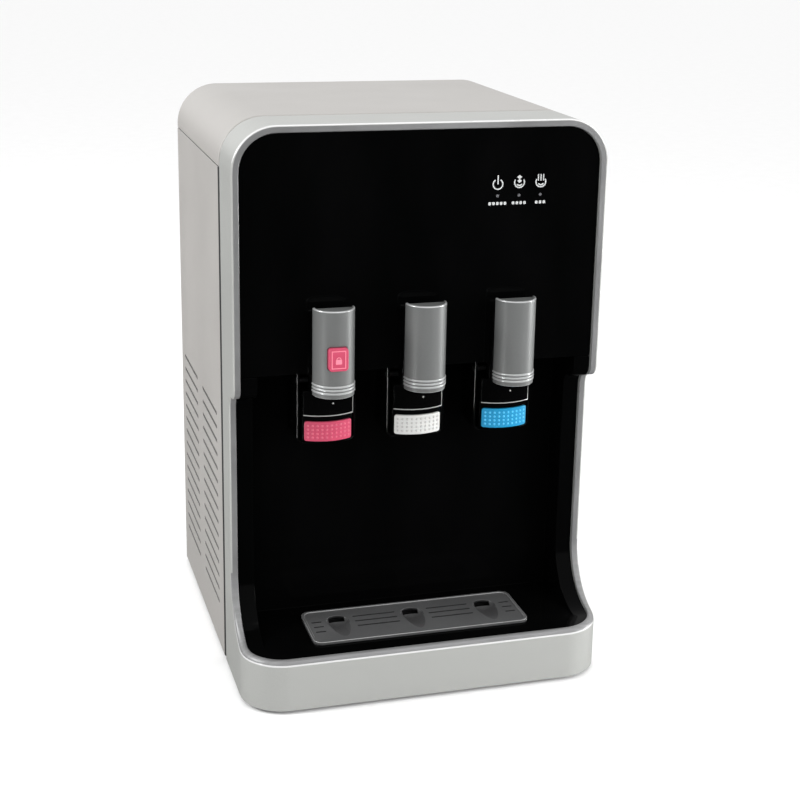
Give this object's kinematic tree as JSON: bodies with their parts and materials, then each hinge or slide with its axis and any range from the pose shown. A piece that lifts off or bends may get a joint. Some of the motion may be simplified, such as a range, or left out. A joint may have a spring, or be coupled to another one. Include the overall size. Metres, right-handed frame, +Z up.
{
  "type": "desktop water dispenser",
  "caption": "Table-top water dispenser: silver cabinet, gloss-black front, push-lever taps over a drinking alcove, lift-out drip tray, tanks and cooling unit inside.",
  "frame": {"origin": "on the table, under the middle of the cabinet's overall box", "axes": "+Z up, -Y towards the user (front), +X to the user's right"},
  "size_m": [0.31, 0.33, 0.472],
  "materials": {
    "silver_frame": "satin silver paint",
    "silver_casing": "fine satin silver",
    "black_gloss": "high gloss",
    "grey_metallic": "metallic grey, semi gloss",
    "grille_grey": "matt dark grey",
    "tray_black": "matt black",
    "pink_grip": "semi gloss pink",
    "white_grip": "semi gloss white",
    "blue_grip": "semi gloss blue",
    "lens_clear": "clear, polished",
    "steel": "brushed",
    "white_plastic": "matt off-white",
    "hose_rubber": "matt, translucent white",
    "rubber_black": "matt",
    "rear_sheet": "matt dark grey paint",
    "foam_white": "matt expanded foam",
    "copper": "drawn copper tube",
    "black_metal": "semi-matt black paint",
    "board_green": "satin",
    "brown_bakelite": "matt",
    "switch_red": "gloss",
    "switch_green": "gloss"
  },
  "bodies": {
    "cabinet": {"front_frame": "silver_frame", "front_panel": "black_gloss", "alcove_liner": "black_gloss", "tap_plate": "black_gloss", "top_cover": "silver_casing", "left_side_panel": "silver_casing", "right_side_panel": "silver_casing", "rear_panel": "rear_sheet", "base_plate": "rear_sheet", "feet": "rubber_black", "tank_shelf": "rear_sheet", "indicator_board": "board_green", "indicator_lenses": "lens_clear", "cold_tank": "steel", "cold_tank_lid": "white_plastic", "cold_tank_insulation": "foam_white", "evaporator_coil": "copper", "hot_tank": "steel", "band_heater": "steel", "thermostats": "brown_bakelite", "compressor": "black_metal", "compressor_grommets": "rubber_black", "condenser": "black_metal", "refrigerant_lines": "copper", "inlet_valve": "white_plastic", "water_hoses": "hose_rubber", "drain_pipe": "white_plastic", "power_panel": "tray_black", "control_board": "board_green", "rear_screws": "steel", "hot_spout_cover": "grey_metallic", "hot_tap_housing": "black_gloss", "hot_lever_pin": "steel", "hot_lever_spring": "steel", "hot_valve": "white_plastic", "ambient_spout_cover": "grey_metallic", "ambient_tap_housing": "black_gloss", "ambient_lever_pin": "steel", "ambient_lever_spring": "steel", "ambient_valve": "white_plastic", "cold_spout_cover": "grey_metallic", "cold_tap_housing": "black_gloss", "cold_lever_pin": "steel", "cold_lever_spring": "steel", "cold_valve": "white_plastic"},
    "hot_lever": {"hot_lever": "black_gloss", "hot_grip_pad": "pink_grip"},
    "hot_plunger": {"hot_plunger": "white_plastic"},
    "ambient_lever": {"ambient_lever": "black_gloss", "ambient_grip_pad": "white_grip"},
    "ambient_plunger": {"ambient_plunger": "white_plastic"},
    "cold_lever": {"cold_lever": "black_gloss", "cold_grip_pad": "blue_grip"},
    "cold_plunger": {"cold_plunger": "white_plastic"},
    "child_lock_button": {"child_lock_button": "pink_grip"},
    "drip_tray": {"drip_tray": "tray_black"},
    "drip_grille": {"drip_grille": "grille_grey"},
    "hot_switch": {"hot_switch": "switch_red"},
    "cold_switch": {"cold_switch": "switch_green"},
    "drain_plug": {"drain_plug": "rubber_black"}
  },
  "joints": [
    {"name": "hot_lever_swing", "type": "hinge", "parent": "cabinet", "child": "hot_lever", "pos_m": [-0.076, -0.095, 0.262], "axis": [1, 0, 0], "range_deg": [0, 8], "stiffness_Nm_per_rad": 0.3, "springref_deg": -11.46},
    {"name": "hot_plunger_push", "type": "slide", "parent": "cabinet", "child": "hot_plunger", "axis": [0, -1, 0], "range_m": [0, 0.0043]},
    {"name": "ambient_lever_swing", "type": "hinge", "parent": "cabinet", "child": "ambient_lever", "pos_m": [0, -0.095, 0.262], "axis": [1, 0, 0], "range_deg": [0, 8], "stiffness_Nm_per_rad": 0.3, "springref_deg": -11.46},
    {"name": "ambient_plunger_push", "type": "slide", "parent": "cabinet", "child": "ambient_plunger", "axis": [0, -1, 0], "range_m": [0, 0.0043]},
    {"name": "cold_lever_swing", "type": "hinge", "parent": "cabinet", "child": "cold_lever", "pos_m": [0.076, -0.095, 0.262], "axis": [1, 0, 0], "range_deg": [0, 8], "stiffness_Nm_per_rad": 0.3, "springref_deg": -11.46},
    {"name": "cold_plunger_push", "type": "slide", "parent": "cabinet", "child": "cold_plunger", "axis": [0, -1, 0], "range_m": [0, 0.0043]},
    {"name": "child_lock_press", "type": "slide", "parent": "cabinet", "child": "child_lock_button", "axis": [0, 1, 0], "range_m": [0, 0.0016], "stiffness_N_per_m": 1500, "springref_m": -0.0005},
    {"name": "drip_tray_lift", "type": "slide", "parent": "cabinet", "child": "drip_tray", "axis": [0, 0, 1], "range_m": [0, 0.06]},
    {"name": "drip_grille_lift", "type": "slide", "parent": "drip_tray", "child": "drip_grille", "axis": [0, 0, 1], "range_m": [0, 0.03]},
    {"name": "hot_switch_tilt", "type": "hinge", "parent": "cabinet", "child": "hot_switch", "pos_m": [0.049, 0.1535, 0.06], "axis": [1, 0, 0], "range_deg": [-16, 0]},
    {"name": "cold_switch_tilt", "type": "hinge", "parent": "cabinet", "child": "cold_switch", "pos_m": [0.067, 0.1535, 0.06], "axis": [1, 0, 0], "range_deg": [-16, 0]},
    {"name": "drain_plug_pull", "type": "slide", "parent": "cabinet", "child": "drain_plug", "axis": [0, 1, 0], "range_m": [0, 0.025]}
  ],
  "couplings": [
    {"joint": "hot_plunger_push", "follows": "hot_lever_swing", "m_per_rad": 0.0306},
    {"joint": "ambient_plunger_push", "follows": "ambient_lever_swing", "m_per_rad": 0.0306},
    {"joint": "cold_plunger_push", "follows": "cold_lever_swing", "m_per_rad": 0.0306}
  ]
}
